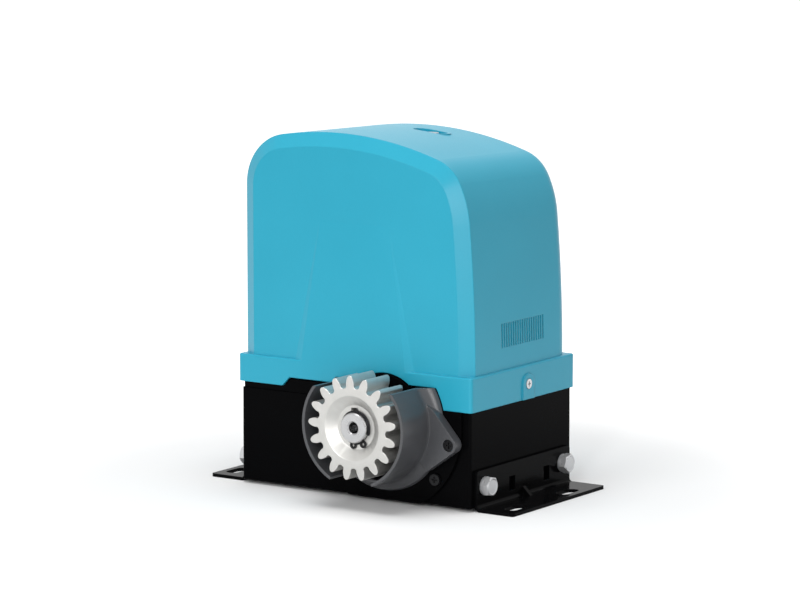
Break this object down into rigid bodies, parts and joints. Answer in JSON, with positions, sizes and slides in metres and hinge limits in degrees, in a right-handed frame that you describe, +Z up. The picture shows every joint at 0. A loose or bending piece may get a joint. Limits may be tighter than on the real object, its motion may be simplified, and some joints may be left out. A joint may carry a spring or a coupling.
{
  "type": "sliding gate motor",
  "caption": "Floor-mounted sliding gate motor: domed moulded cover on a cast gearbox base, guarded rack pinion on the front, slotted steel feet at both ends.",
  "frame": {"origin": "middle of the whole footprint, on the foundation that the feet stand on", "axes": "+Z up, -Y towards the pinion side, +X to the right seen from the pinion side"},
  "size_m": [0.2682, 0.1808, 0.265],
  "materials": {
    "teal_plastic": "fine-textured moulded plastic, teal blue",
    "black_paint": "gloss black paint on die-cast aluminium",
    "foot_paint": "gloss black powder coat on bent steel",
    "guard_plastic": "dark grey satin plastic",
    "zinc_steel": "bright zinc plate",
    "pinion_steel": "machined, satin zinc-plated steel",
    "ground_steel": "ground steel",
    "black_steel": "black oxide spring steel and screws",
    "cast_aluminium": "raw die-cast aluminium",
    "bronze": "cast bronze",
    "seal_rubber": "black nitrile rubber",
    "lamination": "stacked electrical steel",
    "copper": "varnished copper wire",
    "fan_plastic": "black plastic",
    "board_green": "solder-masked glass-fibre board",
    "black_plastic": "black moulded plastic",
    "terminal_green": "green moulded plastic",
    "capacitor_white": "white plastic case",
    "plated_steel": "zinc-plated sheet steel"
  },
  "bodies": {
    "base": {"cover": "teal_plastic", "cover_screws": "zinc_steel", "release_plug": "teal_plastic", "base_housing": "black_paint", "gearbox_housing": "cast_aluminium", "gearbox_cover": "black_paint", "lid_screws": "black_steel", "pinion_guard": "guard_plastic", "guard_screws": "black_steel", "front_bearing": "ground_steel", "rear_bearing": "ground_steel", "oil_seal": "seal_rubber", "right_foot": "foot_paint", "left_foot": "foot_paint", "foot_bolts": "zinc_steel", "foot_washers": "zinc_steel", "foot_nuts": "zinc_steel", "worm_low_bearing": "ground_steel", "worm_high_bearing": "ground_steel", "motor_stator": "lamination", "stator_windings": "copper", "motor_end_shield": "cast_aluminium", "motor_bearing": "ground_steel", "component_deck": "plated_steel", "transformer_core": "lamination", "transformer_winding": "copper", "run_capacitor": "capacitor_white", "control_board": "board_green", "board_relays": "black_plastic", "terminal_blocks": "terminal_green", "limit_sensor": "black_plastic", "cable_grommet": "seal_rubber"},
    "output_drive": {"pinion": "pinion_steel", "output_shaft": "ground_steel", "shaft_circlip": "black_steel", "pinion_key": "ground_steel", "wheel_key": "ground_steel", "worm_wheel": "bronze", "wheel_spacer": "ground_steel"},
    "motor_rotor": {"worm_shaft": "ground_steel", "rotor_core": "lamination", "cooling_fan": "fan_plastic"},
    "release_spindle": {"release_spindle": "plated_steel"}
  },
  "joints": [
    {"name": "motor_spin", "type": "hinge", "parent": "base", "child": "motor_rotor", "pos_m": [-0.0315, 0.00505, 0.12], "axis": [0, 0, 1], "continuous": true},
    {"name": "output_spin", "type": "hinge", "parent": "base", "child": "output_drive", "pos_m": [0.0285, -0.02, 0.0605], "axis": [0, 1, 0], "continuous": true},
    {"name": "release_turn", "type": "hinge", "parent": "base", "child": "release_spindle", "pos_m": [0.008, 0.04105, 0.1], "axis": [0, 0, 1], "range_deg": [0, 90]}
  ],
  "couplings": [
    {"joint": "output_spin", "follows": "motor_spin", "ratio": -0.032258}
  ]
}
